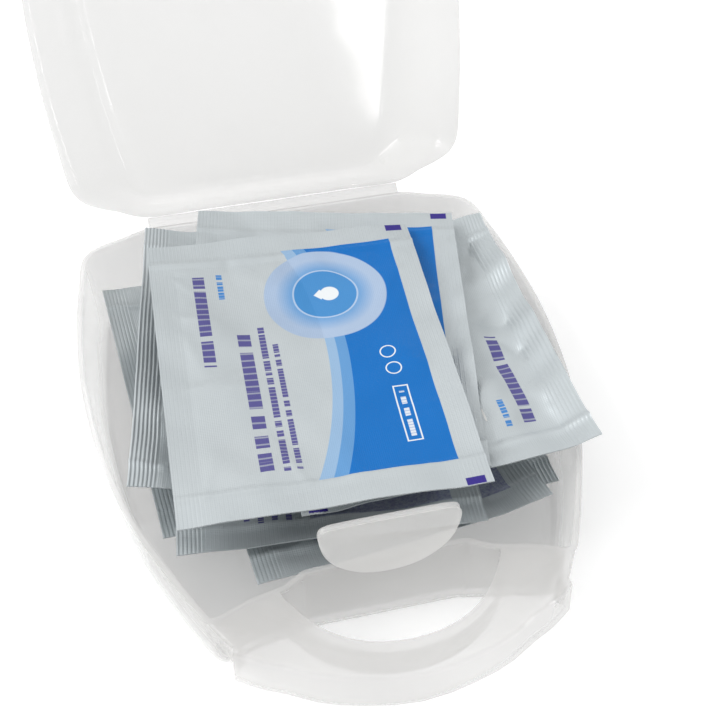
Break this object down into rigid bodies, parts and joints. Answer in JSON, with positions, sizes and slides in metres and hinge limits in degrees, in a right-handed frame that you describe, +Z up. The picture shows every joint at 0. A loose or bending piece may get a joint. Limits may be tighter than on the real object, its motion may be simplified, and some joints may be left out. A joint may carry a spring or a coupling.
{
  "type": "first-aid carry case",
  "caption": "Translucent clamshell carry case with a D-shaped finger hole, living hinge and latch tongue, open, holding a loose pile of sealed wipe sachets.",
  "frame": {"origin": "middle of the case's flat underside", "axes": "+Z up out of the open base, +Y from the handle towards the hinge, +X to the right across the case"},
  "size_m": [0.105, 0.2062, 0.1467],
  "materials": {
    "polypropylene": "natural translucent polypropylene, satin outside and glossy inside",
    "printed_foil": null,
    "plain_foil": "silver-grey laminate, unprinted",
    "nonwoven": "soft white nonwoven, folded and moist"
  },
  "bodies": {
    "base": {"base_shell": "polypropylene", "sachet_1_front_film": "printed_foil", "sachet_1_wipe": "nonwoven", "sachet_1_back_film": "plain_foil", "sachet_2_front_film": "printed_foil", "sachet_2_wipe": "nonwoven", "sachet_2_back_film": "plain_foil", "sachet_3_front_film": "printed_foil", "sachet_3_wipe": "nonwoven", "sachet_3_back_film": "plain_foil", "sachet_4_front_film": "printed_foil", "sachet_4_wipe": "nonwoven", "sachet_4_back_film": "plain_foil", "sachet_5_front_film": "printed_foil", "sachet_5_wipe": "nonwoven", "sachet_5_back_film": "plain_foil", "sachet_6_front_film": "printed_foil", "sachet_6_wipe": "nonwoven", "sachet_6_back_film": "plain_foil", "sachet_7_front_film": "printed_foil", "sachet_7_wipe": "nonwoven", "sachet_7_back_film": "plain_foil", "sachet_8_front_film": "printed_foil", "sachet_8_wipe": "nonwoven", "sachet_8_back_film": "plain_foil"},
    "lid": {"lid_shell": "polypropylene", "living_hinge": "polypropylene"},
    "latch": {"latch_tongue": "polypropylene"}
  },
  "joints": [
    {"name": "lid_hinge", "type": "hinge", "parent": "base", "child": "lid", "pos_m": [0, 0.06, 0.02], "axis": [-1, 0, 0], "range_deg": [-114.6, 65.4], "deforming": ["living_hinge", "sachet_6_front_film", "sachet_6_wipe", "sachet_6_back_film"]},
    {"name": "latch_tongue_bend", "type": "hinge", "parent": "base", "child": "latch", "pos_m": [0, -0.0549, 0.019], "axis": [1, 0, 0], "range_deg": [0, 35], "stiffness_Nm_per_rad": 0.02}
  ]
}
